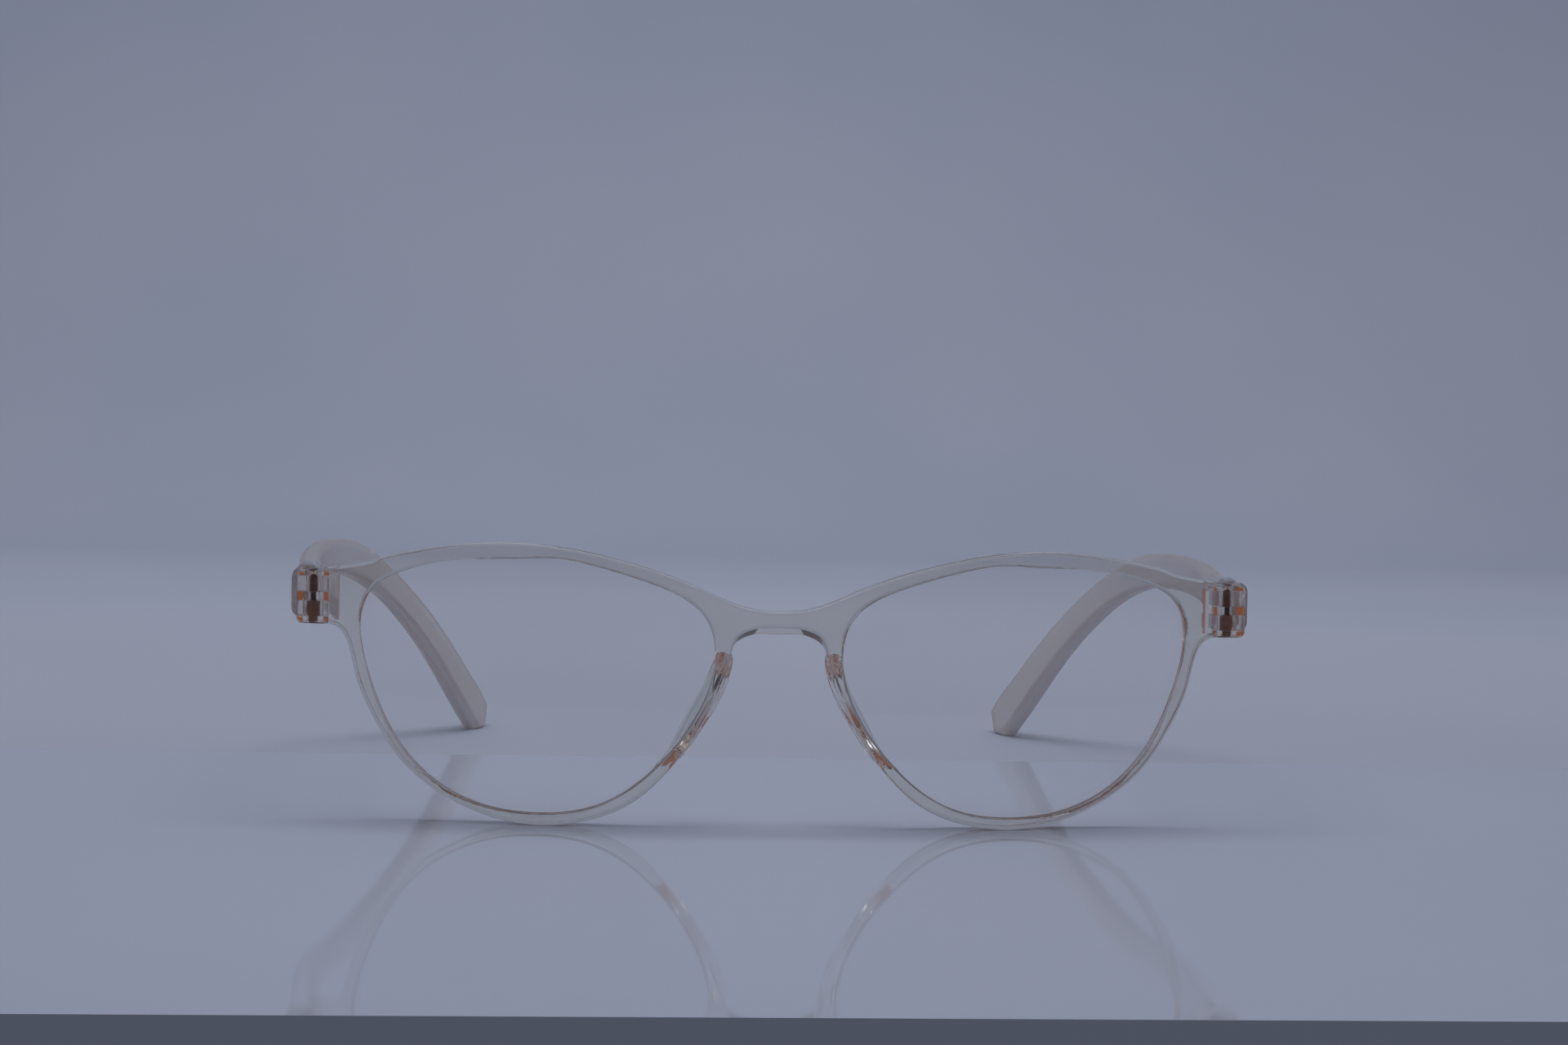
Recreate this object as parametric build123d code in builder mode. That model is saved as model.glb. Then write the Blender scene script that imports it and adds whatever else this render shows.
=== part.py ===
from build123d import *
import math
import os

# Clear moulded spectacles, size 52-17-140, standing on a table with both temples open.
# Millimetres, +Z up. The front faces -Y, X runs along it, and the wearer's left is +X.
# The origin is on the table, under the middle of the part.

# Front
FRONT_Y = -65.4  # foremost point of the bridge
FACE_RADIUS = 280.0  # wrap of the front, about an upright axis
RIM_DEPTH = 3.4  # thickness of the front, front to back
FRONT_HEIGHT = 40.0
EDGE_ROUND = 0.45  # rounding of the rim's moulded edges
BLANK_DEPTH, BLANK_HEIGHT = 17.0, 45.0  # straight blanks that the curved pieces are cut from

# Lenses
LENS_RADIUS = 130.0
LENS_THICKNESS = 1.8
LENS_HOLD = 0.35  # how far a lens reaches into its rim, all round
LENS_X, LENS_Z = 34.3, 19.6  # optical centre
LENS_SINK = 0.4  # middle of the lens behind the face of the rim
GROOVE_GAP = 0.03
OUTLINE_POINTS = 36

# Hinge: three front knuckles, two temple knuckles, on one upright screw
HINGE_X, HINGE_DEPTH = 66.6, 14.6
KNUCKLE_R = 2.3
FRONT_KNUCKLES = ((27.9, 28.6), (30.9, 32.1), (34.5, 35.1))
TEMPLE_KNUCKLES = ((28.7, 30.8), (32.2, 34.4))
BLOCK_REAR = 12.1  # depth of the end piece's rear face
BLOCK_INNER, BLOCK_OUTER = 63.2, 69.0
BLOCK_INSET = 0.3  # of the wall that carries the barrels, from the outline
BLOCK_WEB = 2.0
NECK = 3.5  # from the screw to the end of a barrel's neck
SCREW_R, SCREW_CHAMFER = 0.7, 0.2
HEAD_R, HEAD_HEIGHT = 1.2, 0.5
SLOT_WIDTH, SLOT_DEPTH = 0.3, 0.25
SCREW_END = 28.3
INSERT_R = 1.0
INSERT_LOW, INSERT_HIGH = 27.9, 30.75
FIXED_GAP = 0.02  # between pieces of one body
RUNNING_GAP = 0.05  # between a pin and what turns on it
SWING_GAP = 0.2  # between the temple and the front's barrels

# Temple, 140 long: x, depth behind the front, z, height and thickness at each station
TEMPLE_START = 17.5
TEMPLE_NOSE = 12.5  # depth at which the temple's front end meets the end piece
CAP_INNER = 69.2  # inner side of the cap that covers the hinge from outside
TEMPLE_STATIONS = (
    (68.5, TEMPLE_START, 32.0, 7.4, 3.6),
    (70.0, 27.0, 32.5, 6.9, 3.6),
    (72.4, 43.0, 33.4, 6.4, 3.3),
    (74.2, 60.0, 34.4, 6.2, 3.1),
    (74.1, 75.0, 34.9, 6.2, 3.0),
    (72.4, 87.0, 34.3, 6.4, 2.9),
    (69.2, 96.5, 31.4, 6.8, 2.9),
    (65.2, 103.8, 26.2, 7.4, 2.9),
    (61.3, 110.0, 20.1, 8.4, 3.0),
    (57.8, 115.8, 13.4, 9.3, 3.2),
    (54.8, 121.6, 7.0, 9.9, 3.3),
    (52.0, 127.2, 0.5, 9.9, 3.3),
)
TIP_ROUND = 0.8  # rounding of the ear piece's end, whose lower corner is cut level with the table
SECTION_ROUND = 0.42  # corner radius of a section, as a share of its thickness

# Nose pads: z, then x and depth of the front and rear end of the section's middle line
PAD_THICKNESS = 1.9
PAD_SECTIONS = (
    (25.2, 7.9, 1.8, 8.0, 2.3),
    (23.5, 7.45, 1.5, 8.3, 4.3),
    (21.5, 7.9, 1.4, 9.0, 6.3),
    (18.5, 9.0, 1.4, 10.3, 8.0),
    (15.5, 10.7, 1.4, 12.0, 8.2),
    (12.5, 12.6, 1.4, 13.5, 7.2),
    (10.0, 14.5, 1.5, 15.1, 5.2),
    (8.2, 16.4, 1.9, 16.5, 2.6),
)

FACE_PLANE = Plane(origin=(0, FRONT_Y, 0), x_dir=(1, 0, 0), z_dir=(0, -1, 0))
HINGE_Y = FRONT_Y + HINGE_DEPTH

# Half of the face, as x and z, from the middle of the bridge out to the end piece and back
BROW = ((0, 30.85), (4.4, 31.3), (12, 34.3), (21, 37.35), (30.3, 39.35), (38.5, FRONT_HEIGHT))
BROW_OUTER = ((47, 39.4), (56.5, 37.6), (64, 35.9))
END_PIECE = ((64, 35.9), (BLOCK_OUTER, 35.3), (BLOCK_OUTER, 27.7), (65.2, 27.7))
CHEEK = (
    (65.2, 27.7),
    (62.4, 26.9),
    (61.1, 24.3),
    (60.2, 20.6),
    (57.5, 14.6),
    (53.3, 8.5),
    (47, 3.7),
    (40.3, 0.95),
    (33.6, 0),
    (27, 0.75),
    (20.2, 3.6),
    (15.9, 7.5),
    (12.1, 12.3),
    (9.6, 16.7),
    (7.6, 21.3),
    (6.85, 24.8),
)
ARCH = ((6.85, 24.8), (5.65, 27.4), (3.7, 28.3), (0, 28.5))
ARCH_DEPTH, REAR_ARCH_DEPTH = 0.9, 4.0  # between them the underside of the bridge slopes down
ARCH_TOP, PAD_ROOT = 29.6, 7.7
REAR_ARCH = ((6.85, 24.8), (5.6, 26.3), (3.7, 26.95), (0, 27.05))

# Clear opening of a rim, as x and z
APERTURE = (
    (34, 37.8),
    (45.7, 37.3),
    (53.5, 35.6),
    (57.9, 33.0),
    (59.5, 29.3),
    (58.6, 22),
    (56.2, 15.5),
    (50.4, 7.5),
    (43, 3.1),
    (33.9, 1.6),
    (24.5, 3.3),
    (16.7, 9.1),
    (11.3, 16.6),
    (9.1, 24),
    (10.5, 29.8),
    (16.4, 33.8),
    (24.5, 36.4),
)


def face_plane(depth):
    """The plane of the front's outline, at a depth behind the bridge."""
    return FACE_PLANE.offset(-depth)


def grown_aperture(amount):
    """Points of a rim's clear opening, moved outwards."""
    opening = Spline(*APERTURE, periodic=True)
    points = []
    for i in range(OUTLINE_POINTS):
        along = opening % (i / OUTLINE_POINTS)
        points.append((opening @ (i / OUTLINE_POINTS)) + amount * Vector(-along.Y, along.X))
    return points


def lens_blank(growth):
    """The left lens, or with growth the groove for it: an outline cut from a spherical shell."""
    outline = grown_aperture(LENS_HOLD + growth)
    lean = math.asin(LENS_X / FACE_RADIUS)
    reach = FACE_RADIUS - LENS_SINK - LENS_RADIUS
    half_thickness = LENS_THICKNESS / 2 + growth
    centre = (
        reach * math.sin(lean),
        FRONT_Y + FACE_RADIUS - reach * math.cos(lean),
        LENS_Z,
    )
    with BuildPart() as shell:
        with Locations(centre):
            Sphere(LENS_RADIUS + half_thickness)
            Sphere(LENS_RADIUS - half_thickness, mode=Mode.SUBTRACT)
    with BuildPart() as blank:
        with BuildSketch(face_plane(-RIM_DEPTH)):
            with BuildLine():
                Spline(*outline, periodic=True)
            make_face()
        extrude(amount=BLANK_DEPTH, dir=(0, 1, 0))
        add(shell.part, mode=Mode.INTERSECT)
    return blank.part


def half_face():
    """The outline of the left half of the front."""
    with BuildSketch(face_plane(-RIM_DEPTH)) as half:
        with BuildLine():
            Spline(*BROW, *BROW_OUTER, tangents=((1, 0), (1, -0.14)))
            FilletPolyline(*END_PIECE, radius=0.9)
            Spline(*CHEEK)
            Spline(*ARCH, tangents=((-0.3, 1), (-1, 0)))
            Line(ARCH[-1], BROW[0])
        make_face()
        with BuildLine():
            Spline(*APERTURE, periodic=True)
        make_face(mode=Mode.SUBTRACT)
    return half.sketch


def arch_section(depth, curve):
    """A section of the bridge's underside, which widens towards the back."""
    with BuildSketch(face_plane(depth)) as section:
        with BuildLine():
            Spline(*curve, tangents=((-0.3, 1), (-1, 0)))
            Polyline(curve[-1], (0, ARCH_TOP), (PAD_ROOT, ARCH_TOP), (PAD_ROOT, ARCH[0][1]), curve[0])
        make_face()
    return section.sketch


def knuckle(low, high, towards):
    """One barrel of the left hinge, with its neck to the front (-1) or to the temple (1)."""
    with BuildPart() as barrel:
        with BuildSketch(Plane.XY.offset(low)):
            with Locations((HINGE_X, HINGE_Y)):
                Circle(KNUCKLE_R)
            with Locations((HINGE_X, HINGE_Y + towards * NECK / 2)):
                Rectangle(2 * KNUCKLE_R, NECK)
        extrude(amount=high - low)
    return barrel.part


def section_plane(x, y, z, along):
    """A plane square to a path, its local x across the blade and its local y up it."""
    across = Vector(1, 0, 0) - along * along.X
    return Plane(origin=(x, y, z), x_dir=across, z_dir=along)


def depth_behind_face(edge):
    """How far behind the curved face of the front an edge's middle lies."""
    middle = edge.position_at(0.5)
    return FACE_RADIUS - math.hypot(middle.X, middle.Y - FRONT_Y - FACE_RADIUS)


def outline_edges(part, depth):
    """The moulded edges that run round a rim or the outline, at one depth."""
    return [
        edge
        for edge in part.edges()
        if abs(depth_behind_face(edge) - depth) < FIXED_GAP
        and edge.position_at(0.5).X > FIXED_GAP
        and edge.length > KNUCKLE_R
    ]


# Underside of the bridge, which slopes down towards the back
with BuildPart() as bridge_underside:
    add(arch_section(ARCH_DEPTH, ARCH))
    add(arch_section(REAR_ARCH_DEPTH, REAR_ARCH))
    loft()

# Half of the front: curved slab with its rim
with BuildPart() as slab:
    with BuildSketch():
        with Locations((0, FRONT_Y + FACE_RADIUS)):
            Circle(FACE_RADIUS)
            Circle(FACE_RADIUS - RIM_DEPTH, mode=Mode.SUBTRACT)
    extrude(amount=BLANK_HEIGHT)

with BuildPart() as rim:
    add(half_face())
    extrude(amount=BLANK_DEPTH, dir=(0, 1, 0))
    add(bridge_underside.part)
    add(slab.part, mode=Mode.INTERSECT)
    fillet(outline_edges(rim.part, 0), EDGE_ROUND)
    fillet(outline_edges(rim.part, RIM_DEPTH), EDGE_ROUND)

# Nose pad, a rounded fin behind the inner side of the rim
with BuildPart() as nose_pad:
    for z, x_front, depth_front, x_rear, depth_rear in PAD_SECTIONS:
        run, drop = x_rear - x_front, depth_rear - depth_front
        middle = ((x_front + x_rear) / 2, FRONT_Y + (depth_front + depth_rear) / 2)
        with BuildSketch(Plane.XY.offset(z)):
            with Locations(middle):
                SlotCenterToCenter(
                    math.hypot(run, drop), PAD_THICKNESS, rotation=math.degrees(math.atan2(drop, run))
                )
    loft()

# End piece and the front's three barrels
with BuildPart() as end_piece:
    with BuildSketch(Plane.XY.offset(FRONT_KNUCKLES[0][0] + BLOCK_INSET)):
        with Locations((BLOCK_OUTER - BLOCK_INSET, FRONT_Y + BLOCK_REAR)):
            Rectangle(BLOCK_OUTER - BLOCK_INNER, BLOCK_WEB, align=(Align.MAX, Align.MAX))
    extrude(amount=FRONT_KNUCKLES[-1][1] - FRONT_KNUCKLES[0][0] - 2 * BLOCK_INSET)
    for low, high in FRONT_KNUCKLES:
        add(knuckle(low, high, -1))

# Lenses, the left one drawn and the right one mirrored
with BuildPart() as lens_left:
    add(lens_blank(0))

with BuildPart() as lens_right:
    mirror(lens_left.part, about=Plane.YZ)

# Hinge hardware: a slotted screw from above, in a sleeve held by the lowest barrel
top = FRONT_KNUCKLES[-1][1]
with BuildPart() as hinge_screw_left:
    with BuildSketch(Plane.XZ):
        with BuildLine():
            Polyline(
                (0, SCREW_END),
                (SCREW_R - SCREW_CHAMFER, SCREW_END),
                (SCREW_R, SCREW_END + SCREW_CHAMFER),
                (SCREW_R, top - HEAD_HEIGHT),
                (HEAD_R, top),
                (0, top),
                close=True,
            )
        make_face()
    revolve(axis=Axis.Z)
    with Locations((0, 0, top)):
        Box(3 * HEAD_R, SLOT_WIDTH, 2 * SLOT_DEPTH, mode=Mode.SUBTRACT)
hinge_screw_left.part.position = (HINGE_X, HINGE_Y, 0)

with BuildPart() as hinge_screw_right:
    mirror(hinge_screw_left.part, about=Plane.YZ)

with BuildPart() as hinge_insert_left:
    with BuildSketch(Plane.XY.offset(INSERT_LOW)):
        with Locations((HINGE_X, HINGE_Y)):
            Circle(INSERT_R)
            Circle(SCREW_R + FIXED_GAP, mode=Mode.SUBTRACT)
    extrude(amount=INSERT_HIGH - INSERT_LOW)

with BuildPart() as hinge_insert_right:
    mirror(hinge_insert_left.part, about=Plane.YZ)

# The front, one moulding: both rims, bridge, nose pads, end pieces and barrels
with BuildPart() as front_frame:
    for piece in (rim, nose_pad, end_piece):
        add(piece.part)
    add(lens_blank(GROOVE_GAP), mode=Mode.SUBTRACT)
    with BuildSketch(Plane.XY.offset(INSERT_LOW)):
        with Locations((HINGE_X, HINGE_Y)):
            Circle(INSERT_R + FIXED_GAP)
    extrude(amount=INSERT_HIGH - INSERT_LOW, mode=Mode.SUBTRACT)
    with BuildSketch(Plane.XY.offset(INSERT_HIGH)):
        with Locations((HINGE_X, HINGE_Y)):
            Circle(SCREW_R + FIXED_GAP)
    extrude(amount=top - INSERT_HIGH, mode=Mode.SUBTRACT)
    with BuildSketch(Plane.XY.offset(top)):
        with Locations((HINGE_X, HINGE_Y)):
            Circle(HEAD_R + FIXED_GAP)
    countersink = math.degrees(math.atan2(HEAD_R - SCREW_R, HEAD_HEIGHT))
    extrude(amount=-HEAD_HEIGHT, taper=countersink, mode=Mode.SUBTRACT)
    mirror(about=Plane.YZ)

# Temple: blade and ear piece lofted along the path, its front end capping the hinge
with BuildPart() as temple_left:
    last = len(TEMPLE_STATIONS) - 1
    points = [Vector(x, FRONT_Y + depth, z) for x, depth, z, _, _ in TEMPLE_STATIONS]
    for i, (_, _, _, height, thickness) in enumerate(TEMPLE_STATIONS):
        along = (points[min(i + 1, last)] - points[max(i - 1, 0)]).normalized()
        along = Vector(0, 1, 0) if i == 0 else along
        with BuildSketch(section_plane(*points[i], along)):
            RectangleRounded(thickness, height, SECTION_ROUND * thickness)
    loft()
    split(bisect_by=Plane.XY)
    tip = Axis(points[last - 1], points[last] - points[last - 1])
    ends = (temple_left.faces().sort_by(tip)[-1], temple_left.faces().sort_by(Axis.Z)[0])
    fillet([edge for face in ends for edge in face.edges()], TIP_ROUND)
    _, _, z, height, thickness = TEMPLE_STATIONS[0]
    with BuildSketch(section_plane(*points[0], Vector(0, 1, 0))):
        RectangleRounded(thickness, height, SECTION_ROUND * thickness)
    extrude(amount=TEMPLE_NOSE - TEMPLE_START)
    with BuildSketch(Plane.XY.offset(z - height)):
        with Locations((HINGE_X, HINGE_Y)):
            Circle(KNUCKLE_R + SWING_GAP)
        with Locations((CAP_INNER, FRONT_Y + TEMPLE_NOSE)):
            Rectangle(2 * thickness, HINGE_DEPTH + KNUCKLE_R - TEMPLE_NOSE, align=(Align.MAX, Align.MIN))
    extrude(amount=2 * height, mode=Mode.SUBTRACT)
    for low, high in TEMPLE_KNUCKLES:
        add(knuckle(low, high, 1))
    with BuildSketch(Plane.XY.offset(TEMPLE_KNUCKLES[1][0])):
        with Locations((HINGE_X, HINGE_Y)):
            Circle(SCREW_R + RUNNING_GAP)
    extrude(amount=height, mode=Mode.SUBTRACT)
    with BuildSketch(Plane.XY.offset(TEMPLE_KNUCKLES[0][0])):
        with Locations((HINGE_X, HINGE_Y)):
            Circle(INSERT_R + RUNNING_GAP)
    extrude(amount=TEMPLE_KNUCKLES[0][1] - TEMPLE_KNUCKLES[0][0], mode=Mode.SUBTRACT)

with BuildPart() as temple_right:
    mirror(temple_left.part, about=Plane.YZ)

os.makedirs("parts", exist_ok=True)
pieces = {
    "front_frame": front_frame,
    "lens_left": lens_left,
    "lens_right": lens_right,
    "hinge_screw_left": hinge_screw_left,
    "hinge_screw_right": hinge_screw_right,
    "hinge_insert_left": hinge_insert_left,
    "hinge_insert_right": hinge_insert_right,
    "temple_left": temple_left,
    "temple_right": temple_right,
}
for label, piece in pieces.items():
    piece.part.label = label
    export_step(piece.part, f"parts/{label}.step")
    print(label, piece.part.is_valid, round(piece.part.volume, 1))
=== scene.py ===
import math

import bmesh
import bpy
from mathutils import Matrix, Vector


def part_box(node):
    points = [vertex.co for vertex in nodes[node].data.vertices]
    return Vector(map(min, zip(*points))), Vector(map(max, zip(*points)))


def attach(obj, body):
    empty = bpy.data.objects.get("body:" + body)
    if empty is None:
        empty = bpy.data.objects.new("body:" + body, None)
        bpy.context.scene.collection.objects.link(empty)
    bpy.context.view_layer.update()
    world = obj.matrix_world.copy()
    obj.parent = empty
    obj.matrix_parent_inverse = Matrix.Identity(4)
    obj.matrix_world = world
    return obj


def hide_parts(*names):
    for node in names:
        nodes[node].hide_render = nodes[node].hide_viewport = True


# Clear plastic glasses on a pale table: finishes, threaded hinge screws, table, lights and camera.
# Lengths are in metres, angles in degrees, powers in watts.

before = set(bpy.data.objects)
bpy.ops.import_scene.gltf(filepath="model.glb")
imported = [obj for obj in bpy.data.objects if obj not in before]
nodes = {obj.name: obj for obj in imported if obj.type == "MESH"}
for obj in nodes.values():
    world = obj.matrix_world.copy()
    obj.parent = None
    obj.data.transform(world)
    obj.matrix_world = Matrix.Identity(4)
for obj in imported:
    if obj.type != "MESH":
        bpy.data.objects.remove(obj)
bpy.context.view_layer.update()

# Camera: in front of the bridge, a little above the brow and slightly tilted
CAMERA_PLACE = (-0.0179, -0.3721, 0.0486)
CAMERA_YAW = 3.39
CAMERA_PITCH = 0.94
CAMERA_ROLL = 1.12
LENS_MM = 50.0
SENSOR_MM = 36.0
CAMERA_NEAR, CAMERA_FAR = 0.01, 20.0

# Tints of the finishes, from the darker to the lighter patches of each
FRONT_TINTS = ((0.3, (0.85, 0.825, 0.77)), (0.7, (0.90, 0.88, 0.845)))
TEMPLE_TINTS = ((0.3, (0.94, 0.89, 0.89)), (0.7, (0.985, 0.95, 0.955)))
LENS_TINTS = ((0.3, (0.975, 0.985, 0.985)), (0.7, (0.985, 0.99, 0.99)))
# Lens edge: tinted dark as a painted reflection of the dark surroundings the ground edge shows; only
# its matt haze is the edge's own
EDGE_PAINTED_DARK_TINTS = ((0.3, (0.28, 0.27, 0.25)), (0.7, (0.40, 0.39, 0.37)))
SCREW_TINTS = ((0.35, (0.10, 0.095, 0.09)), (0.7, (0.30, 0.29, 0.28)))
INSERT_TINTS = ((0.35, (0.30, 0.26, 0.22)), (0.7, (0.5, 0.47, 0.43)))

# Sizes of the patterns in them, as noise scales per metre
TINT_SCALE, HAZE_SCALE, RIPPLE_SCALE, CLOUD_SCALE = 60, 180, 220, 90
HAIR_SCALE, HAIR_STRETCH = 900, (1, 1, 0.06)
STAIN_SCALE = 900
TURNING_SCALE, TURNING_STRETCH = 2500, (0.15, 0.15, 1)
RIPPLE_DEPTH, TURNING_DEPTH = 0.0001, 0.00003

PLASTIC_IOR = 1.5

# Frost of the temples: where it begins and is full behind the hinge, and where the ear piece
# is painted paler and milky, as painted light on plastic that is uniform there; how clear each stage
# leaves them
FROST_START, FROST_FULL = -0.046, -0.034
PAINTED_PALE_START, PAINTED_PALE_FULL = 0.0, 0.06
HINGE_CLEARNESS, FROSTED_CLEARNESS, PAINTED_PALE_EAR_CLEARNESS = 0.97, 0.8, 0.6
HINGE_ROUGHNESS, FROSTED_ROUGHNESS = 0.03, 0.3
CLOUD_SHIFT = 0.002  # how far clouds move those borders

# Faces of a lens whose normal leans forward or back by less than this are its ground edge
EDGE_LEAN = 0.3

# Hinge screws: thread between its major and minor radius, chamfered head with a driver's slot
THREAD_MAJOR, THREAD_MINOR, THREAD_PITCH = 0.0007, 0.00052, 0.00035
CREST_SHARPNESS = 1.15
SCREW_SIDES = 32
ROWS_PER_TURN = 8
LEAD_IN_ROWS = 16  # rows at the tip over which the thread grows to its full height
HEAD_HEIGHT = 0.0005
HEAD_PROFILE = ((0.9, 0.00012), (0.985, 0.00008), (0.97, 0.00003), (0.90, 0.0))  # radius, depth
SLOT_WIDTH, SLOT_DEPTH, SLOT_TURN = 0.0003, 0.00025, 34
SHARP_ANGLE = 38

# Floor and backdrop
FLOOR_FRONT, FLOOR_BACK = -0.174, 1.1
FLOOR_HALF_WIDTH = 2.5
TABLE_HEIGHT = 0.3
GLOSS_END = 0.016  # behind this line the floor is matt
GLOSS_BORDER = 0.0005
FLOOR_IOR = 2.2
FLOOR_CLOUD_SCALE = 3
GLOSSY_ROUGHNESS, MATT_ROUGHNESS = 0.04, 0.7
GLOSSY_TINTS = ((0.3, (0.50, 0.547, 0.69)), (0.7, (0.54, 0.582, 0.72)))
MATT_TINTS = ((0.3, (0.41, 0.450, 0.57)), (0.7, (0.45, 0.485, 0.60)))
BACKDROP_RADIUS = 0.5
BACKDROP_TOP = 1.6
COVE_STEPS = 24

# Lights: place, target, size and power
LIGHT_COLOUR = (0.98, 0.99, 1.0)
KEY_LIGHT = ((0.0, 0.0, 1.0), (0, 0, 0), (0.8, 0.5), 2.0)
OVERHEAD_FILL = ((0.0, 0.5, 1.9), (0, 0.4, 0), (3.0, 2.6), 5.5)
BACKDROP_FILL = ((0.0, 0.3, 1.6), (0, 1.6, 0.6), (2.4, 0.8), 12.6)

# Surroundings: the light they give from low to high, and how they look straight or through plastic
FILL_TINTS = ((0.45, (0.11, 0.117, 0.139)), (0.9, (0.151, 0.158, 0.18)))
SEEN_PALE = (0.25, 0.27, 0.335)
DEEP_DIM, DEEP_WARM = (0.11, 0.105, 0.11), (0.21, 0.07, 0.03)
HIGH_DARK, HIGH_WARM = (0.03, 0.02, 0.015), (0.13, 0.045, 0.02)

# Light is reflected many times inside the clear mouldings before it leaves them
MOST_BOUNCES, MOST_GLOSSY_BOUNCES = 32, 24


def new_material(name):
    """A material with its node tree, shader and object coordinates."""
    material = bpy.data.materials.new(name)
    material.use_nodes = True
    tree = material.node_tree
    shader = tree.nodes["Principled BSDF"]
    coordinates = tree.nodes.new("ShaderNodeTexCoord")
    return material, tree, shader, coordinates.outputs["Object"]


def noise(tree, vector, scale, detail=3.0, roughness=0.5, stretch=None):
    """The value of a noise texture, stretched along the axes if asked."""
    if stretch:
        mapping = tree.nodes.new("ShaderNodeMapping")
        mapping.inputs["Scale"].default_value = stretch
        tree.links.new(vector, mapping.inputs["Vector"])
        vector = mapping.outputs["Vector"]
    texture = tree.nodes.new("ShaderNodeTexNoise")
    texture.inputs["Scale"].default_value = scale
    texture.inputs["Detail"].default_value = detail
    texture.inputs["Roughness"].default_value = roughness
    tree.links.new(vector, texture.inputs["Vector"])
    return texture.outputs["Fac"]


def split_axes(tree, vector):
    """The three parts of a vector, by the names X, Y and Z."""
    node = tree.nodes.new("ShaderNodeSeparateXYZ")
    tree.links.new(vector, node.inputs["Vector"])
    return node.outputs


def remap(tree, value, low, high, to_low, to_high):
    """A value moved from one range to another, clamped."""
    node = tree.nodes.new("ShaderNodeMapRange")
    node.inputs["From Min"].default_value = low
    node.inputs["From Max"].default_value = high
    node.inputs["To Min"].default_value = to_low
    node.inputs["To Max"].default_value = to_high
    tree.links.new(value, node.inputs["Value"])
    return node.outputs["Result"]


def ramp(tree, value, stops):
    """A colour ramp with (position, colour) stops."""
    node = tree.nodes.new("ShaderNodeValToRGB")
    elements = node.color_ramp.elements
    for element, (position, colour) in zip(elements, stops):
        element.position = position
        element.color = (*colour, 1)
    tree.links.new(value, node.inputs["Fac"])
    return node.outputs["Color"]


def add_values(tree, first, second):
    """The sum of two values."""
    total = tree.nodes.new("ShaderNodeMath")
    tree.links.new(first, total.inputs[0])
    tree.links.new(second, total.inputs[1])
    return total.outputs[0]


def mix_colours(tree, factor, first, second):
    """Two colours mixed by a factor; each is a socket or a plain colour."""
    mix = tree.nodes.new("ShaderNodeMix")
    mix.data_type = "RGBA"
    tree.links.new(factor, mix.inputs["Factor"])
    for socket, colour in ((mix.inputs[6], first), (mix.inputs[7], second)):
        if isinstance(colour, tuple):
            socket.default_value = (*colour, 1)
        else:
            tree.links.new(colour, socket)
    return mix.outputs[2]


def bump(tree, shader, height, strength, distance):
    """Fine relief from a height value."""
    node = tree.nodes.new("ShaderNodeBump")
    node.inputs["Strength"].default_value = strength
    node.inputs["Distance"].default_value = distance
    tree.links.new(height, node.inputs["Height"])
    tree.links.new(node.outputs["Normal"], shader.inputs["Normal"])


def clear_plastic(name, stops, smooth, hazy, ripple, clearness=1.0):
    """Moulded clear plastic: faint tint, patches of haze, hairline scratches and moulding ripple."""
    material, tree, shader, place = new_material(name)
    shader.inputs["Transmission Weight"].default_value = clearness
    shader.inputs["IOR"].default_value = PLASTIC_IOR
    tree.links.new(ramp(tree, noise(tree, place, TINT_SCALE), stops), shader.inputs["Base Color"])
    haze = remap(tree, noise(tree, place, HAZE_SCALE, 4), 0.35, 0.75, smooth, hazy)
    hairs = noise(tree, place, HAIR_SCALE, 2, 0.5, HAIR_STRETCH)
    hairs = remap(tree, hairs, 0.66, 0.72, 0.0, 0.04)
    tree.links.new(add_values(tree, haze, hairs), shader.inputs["Roughness"])
    bump(tree, shader, noise(tree, place, RIPPLE_SCALE, 2), ripple, RIPPLE_DEPTH)
    return material


def frosted_and_painted_pale_plastic(name, stops):
    """Clear plastic round the hinge that turns frosted along the blade, and is painted paler and milky
    at the ear as painted light.
    """
    material, tree, shader, place = new_material(name)
    shader.inputs["IOR"].default_value = PLASTIC_IOR
    tree.links.new(ramp(tree, noise(tree, place, TINT_SCALE), stops), shader.inputs["Base Color"])
    cloud = remap(tree, noise(tree, place, CLOUD_SCALE, 2), 0.35, 0.65, -CLOUD_SHIFT, CLOUD_SHIFT)
    depth = add_values(tree, split_axes(tree, place)["Y"], cloud)
    frost = remap(tree, depth, FROST_START, FROST_FULL, HINGE_CLEARNESS, FROSTED_CLEARNESS)
    # Painted light: the ear piece is made less clear so that it shows paler and milky
    painted_pale_ear = remap(tree, depth, PAINTED_PALE_START, PAINTED_PALE_FULL, 0.0, PAINTED_PALE_EAR_CLEARNESS - FROSTED_CLEARNESS)
    tree.links.new(add_values(tree, frost, painted_pale_ear), shader.inputs["Transmission Weight"])
    roughness = remap(tree, depth, FROST_START, FROST_FULL, HINGE_ROUGHNESS, FROSTED_ROUGHNESS)
    tree.links.new(roughness, shader.inputs["Roughness"])
    return material


def metal(name, stops, polished, dull):
    """Turned metal with fine rings, stains and uneven polish."""
    material, tree, shader, place = new_material(name)
    shader.inputs["Metallic"].default_value = 1.0
    rings = noise(tree, place, TURNING_SCALE, 2, 0.5, TURNING_STRETCH)
    tree.links.new(ramp(tree, noise(tree, place, STAIN_SCALE, 4), stops), shader.inputs["Base Color"])
    tree.links.new(remap(tree, rings, 0.3, 0.7, polished, dull), shader.inputs["Roughness"])
    bump(tree, shader, rings, 0.3, TURNING_DEPTH)
    return material


def set_material(obj, material):
    """Gives the whole object one material."""
    obj.data.materials.clear()
    obj.data.materials.append(material)
    for polygon in obj.data.polygons:
        polygon.material_index = 0


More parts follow.
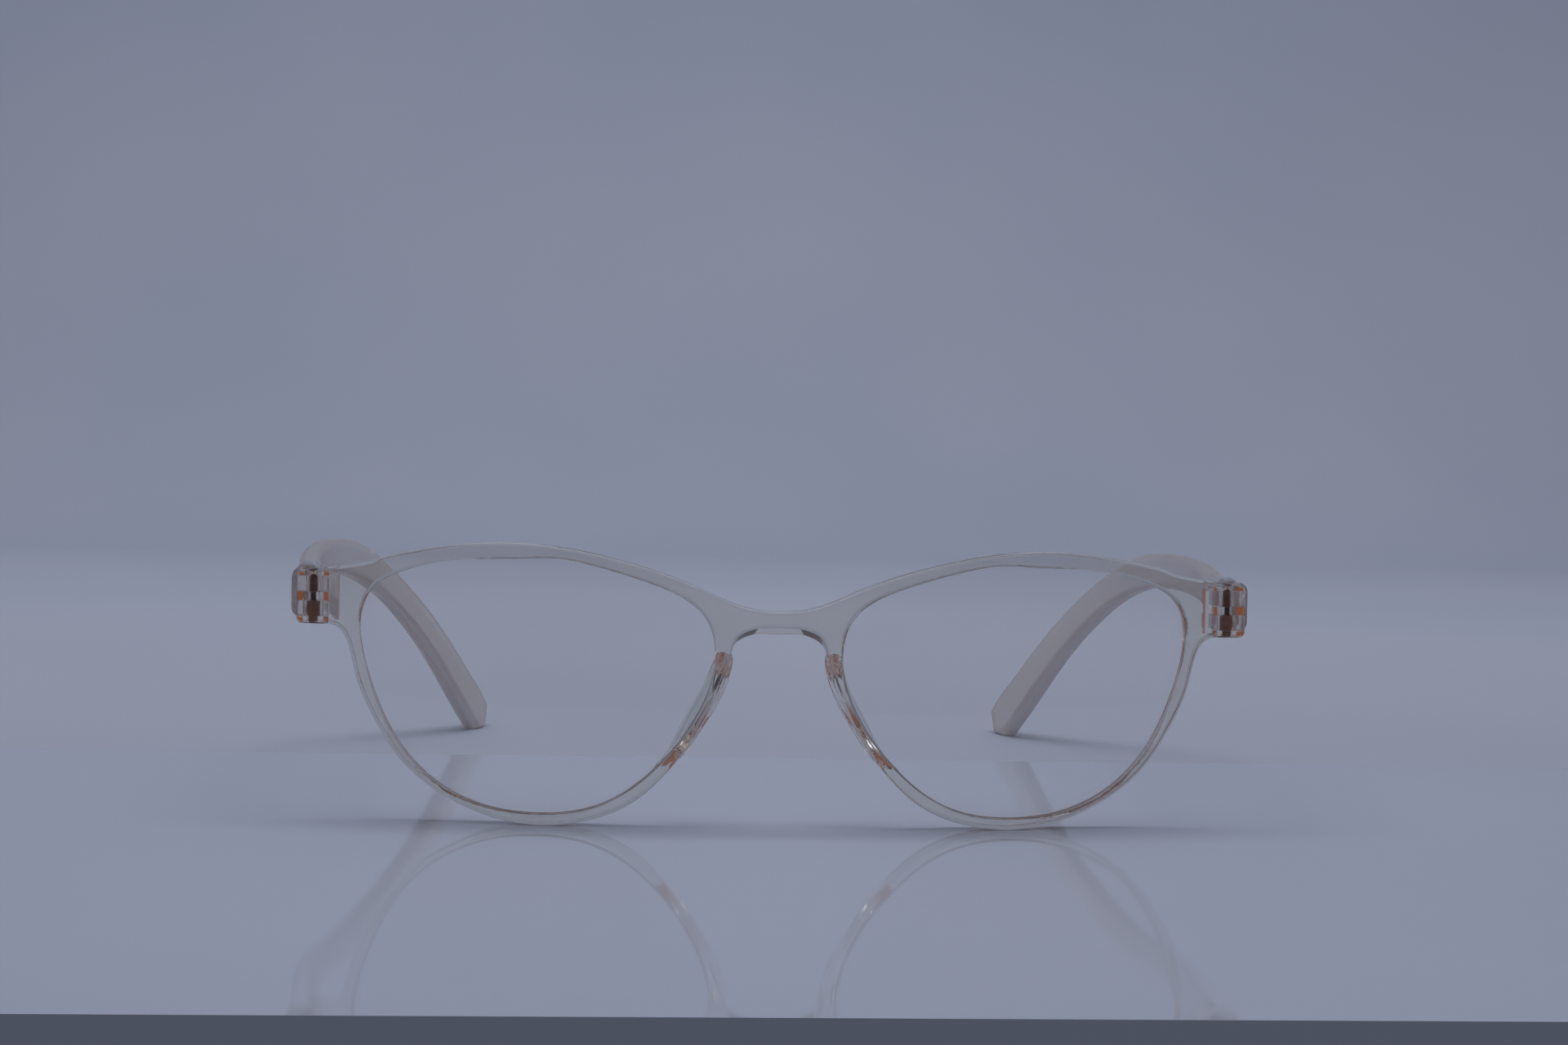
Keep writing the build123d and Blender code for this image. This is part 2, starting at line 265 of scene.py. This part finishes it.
def grind_edge_paint_dark(lens, finish):
    """Gives the ground edge of a lens, all round, its own matt finish, tinted dark all round as a
    painted reflection of dark surroundings.
    """
    lens.data.materials.append(finish)
    for polygon in lens.data.polygons:
        if abs(polygon.normal.y) < EDGE_LEAN:
            polygon.material_index = 1


def finish_nodes():
    """Gives every CAD node its material, and returns that of the screws."""
    front_plastic = clear_plastic("front_plastic", FRONT_TINTS, smooth=0.01, hazy=0.04, ripple=0.012)
    temple_plastic = frosted_and_painted_pale_plastic("temple_plastic", TEMPLE_TINTS)
    lens_polymer = clear_plastic("lens_polymer", LENS_TINTS, smooth=0.0, hazy=0.004, ripple=0.0)
    # The lens edge's dark tint is a painted reflection of dark surroundings; its haze and roughness are
    # the ground edge's own
    lens_edge_painted_dark = clear_plastic(
        "lens_edge_painted_dark", EDGE_PAINTED_DARK_TINTS, smooth=0.3, hazy=0.45, ripple=0.02, clearness=0.8
    )
    screw_steel = metal("screw_steel", SCREW_TINTS, polished=0.25, dull=0.5)
    insert_metal = metal("insert_metal", INSERT_TINTS, polished=0.3, dull=0.55)
    set_material(nodes["front_frame"], front_plastic)
    for side in ("left", "right"):
        set_material(nodes[f"lens_{side}"], lens_polymer)
        grind_edge_paint_dark(nodes[f"lens_{side}"], lens_edge_painted_dark)
        set_material(nodes[f"temple_{side}"], temple_plastic)
        set_material(nodes[f"hinge_screw_{side}"], screw_steel)
        set_material(nodes[f"hinge_insert_{side}"], insert_metal)
    return screw_steel


def new_object(name, mesh):
    """An object in the scene, made from a bmesh."""
    data = bpy.data.meshes.new(name)
    mesh.to_mesh(data)
    mesh.free()
    obj = bpy.data.objects.new(name, data)
    bpy.context.scene.collection.objects.link(obj)
    return obj


def thread_radius(height, side, growth):
    """Radius of the thread at a height above the screw's tip, on one of its sides."""
    phase = (height / THREAD_PITCH - side / SCREW_SIDES) % 1.0
    crest = max(0.0, 1 - abs(2 * phase - 1) * CREST_SHARPNESS)
    return THREAD_MINOR + (THREAD_MAJOR - THREAD_MINOR) * crest * growth


def add_ring(mesh, x, y, z, radii):
    """A ring of points round an upright line, with one radius for each side."""
    ring = []
    for side, radius in enumerate(radii):
        angle = 2 * math.pi * side / SCREW_SIDES
        ring.append(mesh.verts.new((x + radius * math.cos(angle), y + radius * math.sin(angle), z)))
    return ring


def threaded_screw(name, node, steel):
    """A slotted screw with a real helical thread, in the place of a plain CAD screw."""
    low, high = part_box(node)
    x, y = (low.x + high.x) / 2, (low.y + high.y) / 2
    head_r = (high.y - low.y) / 2
    shank = high.z - HEAD_HEIGHT - low.z
    rows = ROWS_PER_TURN * int(shank / THREAD_PITCH)
    mesh = bmesh.new()
    rings = []
    for row in range(rows + 1):
        height = shank * row / rows
        growth = min(1.0, row / LEAD_IN_ROWS)
        radii = [thread_radius(height, side, growth) for side in range(SCREW_SIDES)]
        rings.append(add_ring(mesh, x, y, low.z + height, radii))
    for share, depth in HEAD_PROFILE:
        rings.append(add_ring(mesh, x, y, high.z - depth, [head_r * share] * SCREW_SIDES))
    for below, above in zip(rings, rings[1:]):
        for side in range(SCREW_SIDES):
            after = (side + 1) % SCREW_SIDES
            mesh.faces.new((below[side], below[after], above[after], above[side]))
    mesh.faces.new(rings[-1])
    mesh.faces.new(list(reversed(rings[0])))
    screw = new_object(name, mesh)
    cut_slot(screw, Vector((x, y, high.z)), head_r)
    for polygon in screw.data.polygons:
        polygon.use_smooth = True
    screw.data.set_sharp_from_angle(angle=math.radians(SHARP_ANGLE))
    set_material(screw, steel)
    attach(screw, "front")
    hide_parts(node)


def cut_slot(screw, top, head_r):
    """The driver's slot across the head."""
    mesh = bmesh.new()
    bmesh.ops.create_cube(mesh, size=1)
    turn = Matrix.Rotation(math.radians(SLOT_TURN), 4, "Z")
    size = Matrix.Diagonal((3 * head_r, SLOT_WIDTH, 2 * SLOT_DEPTH, 1))
    bmesh.ops.transform(mesh, matrix=Matrix.Translation(top) @ turn @ size, verts=mesh.verts)
    cutter = new_object("slot_cutter", mesh)
    modifier = screw.modifiers.new("slot", "BOOLEAN")
    modifier.operation = "DIFFERENCE"
    modifier.object = cutter
    modifier.solver = "EXACT"
    graph = bpy.context.evaluated_depsgraph_get()
    result = bpy.data.meshes.new_from_object(screw.evaluated_get(graph))
    screw.modifiers.clear()
    screw.data = result
    bpy.data.objects.remove(cutter)


def floor_material():
    """Pale and faintly cloudy; glossy in front, matt behind."""
    material, tree, shader, place = new_material("pale_floor")
    cloud = noise(tree, place, FLOOR_CLOUD_SCALE, 2)
    glossy = ramp(tree, cloud, GLOSSY_TINTS)
    matt = ramp(tree, cloud, MATT_TINTS)
    depth = split_axes(tree, place)["Y"]
    behind = remap(tree, depth, GLOSS_END, GLOSS_END + GLOSS_BORDER, 0.0, 1.0)
    tree.links.new(mix_colours(tree, behind, glossy, matt), shader.inputs["Base Color"])
    roughness = remap(tree, behind, 0.0, 1.0, GLOSSY_ROUGHNESS, MATT_ROUGHNESS)
    tree.links.new(roughness, shader.inputs["Roughness"])
    shader.inputs["IOR"].default_value = FLOOR_IOR
    return material


def build_floor():
    """A table top with a front face, that curves up into a backdrop."""
    mesh = bmesh.new()
    profile = [(FLOOR_FRONT, -TABLE_HEIGHT), (FLOOR_FRONT, 0.0), (FLOOR_BACK, 0.0)]
    for step in range(1, COVE_STEPS + 1):
        angle = math.pi / 2 * step / COVE_STEPS
        y = FLOOR_BACK + BACKDROP_RADIUS * math.sin(angle)
        profile.append((y, BACKDROP_RADIUS * (1 - math.cos(angle))))
    profile.append((FLOOR_BACK + BACKDROP_RADIUS, BACKDROP_TOP))
    left, right = (
        [mesh.verts.new((x, y, z)) for y, z in profile] for x in (-FLOOR_HALF_WIDTH, FLOOR_HALF_WIDTH)
    )
    for i in range(len(profile) - 1):
        mesh.faces.new((left[i], right[i], right[i + 1], left[i + 1]))
    floor = new_object("floor", mesh)
    for polygon in floor.data.polygons[2:]:  # the front face and the top stay flat
        polygon.use_smooth = True
    set_material(floor, floor_material())


def build_surround():
    """Even pale surroundings that also light the scene a little.

    Rays reflected inside clear plastic find them dark high above, with a warm tinge in front. After
    more reflections they find them dim, and warm in front.
    """
    world = bpy.data.worlds.new("surround")
    bpy.context.scene.world = world
    world.use_nodes = True
    tree = world.node_tree
    direction = split_axes(tree, tree.nodes.new("ShaderNodeTexCoord").outputs["Generated"])
    rays = tree.nodes.new("ShaderNodeLightPath").outputs
    height = remap(tree, direction["Z"], -1, 1, 0, 1)
    straight = add_values(tree, rays["Is Camera Ray"], rays["Is Transmission Ray"])
    seen = mix_colours(tree, straight, ramp(tree, height, FILL_TINTS), SEEN_PALE)
    front = remap(tree, direction["Y"], -0.1, 0.3, 1, 0)
    above = remap(tree, direction["Z"], 0.3, 0.5, 0, 1)
    reflected = remap(tree, rays["Ray Depth"], 2, 3, 0, 1)
    trapped = remap(tree, rays["Ray Depth"], 3, 5, 0, 1)
    through = mix_colours(tree, trapped, seen, mix_colours(tree, front, DEEP_DIM, DEEP_WARM))
    dark = mix_colours(tree, front, HIGH_DARK, HIGH_WARM)
    through = mix_colours(tree, above, through, mix_colours(tree, reflected, through, dark))
    colour = mix_colours(tree, rays["Is Transmission Ray"], seen, through)
    tree.links.new(colour, tree.nodes["Background"].inputs["Color"])


def area_light(name, place, target, size, power):
    """A soft rectangular light."""
    data = bpy.data.lights.new(name, "AREA")
    data.shape = "RECTANGLE"
    data.size, data.size_y = size
    data.energy = power
    data.color = LIGHT_COLOUR
    light = bpy.data.objects.new(name, data)
    bpy.context.scene.collection.objects.link(light)
    light.location = place
    light.rotation_mode = "QUATERNION"
    light.rotation_quaternion = (Vector(target) - Vector(place)).to_track_quat("-Z", "Y")
    return light


def build_lights():
    """A key light overhead, and two wide fills that clear plastic doesn't show."""
    area_light("key", *KEY_LIGHT)
    for fill in (area_light("overhead", *OVERHEAD_FILL), area_light("backdrop_wash", *BACKDROP_FILL)):
        fill.visible_transmission = False
        fill.visible_glossy = False


def build_camera():
    """The camera, from its place, yaw, pitch and roll."""
    yaw, pitch, roll = (math.radians(a) for a in (CAMERA_YAW, CAMERA_PITCH, CAMERA_ROLL))
    ahead = Vector((math.sin(yaw) * math.cos(pitch), math.cos(yaw) * math.cos(pitch), -math.sin(pitch)))
    level = Vector((math.cos(yaw), -math.sin(yaw), 0))
    upright = level.cross(ahead)
    right = math.cos(roll) * level + math.sin(roll) * upright
    up = -math.sin(roll) * level + math.cos(roll) * upright
    data = bpy.data.cameras.new("camera")
    data.lens = LENS_MM
    data.sensor_width = SENSOR_MM
    data.clip_start = CAMERA_NEAR
    data.clip_end = CAMERA_FAR
    camera = bpy.data.objects.new("camera", data)
    bpy.context.scene.collection.objects.link(camera)
    axes = Matrix((right, up, -ahead)).transposed()
    camera.matrix_world = Matrix.Translation(CAMERA_PLACE) @ axes.to_4x4()
    bpy.context.scene.camera = camera


def set_view():
    """True colours, and enough bounces for light to leave the clear mouldings."""
    scene = bpy.context.scene
    scene.view_settings.view_transform = "Standard"
    scene.cycles.max_bounces = MOST_BOUNCES
    scene.cycles.transmission_bounces = MOST_BOUNCES
    scene.cycles.glossy_bounces = MOST_GLOSSY_BOUNCES


screw_finish = finish_nodes()
threaded_screw("screw_left_detail", "hinge_screw_left", screw_finish)
threaded_screw("screw_right_detail", "hinge_screw_right", screw_finish)
build_floor()
build_surround()
build_lights()
build_camera()
set_view()
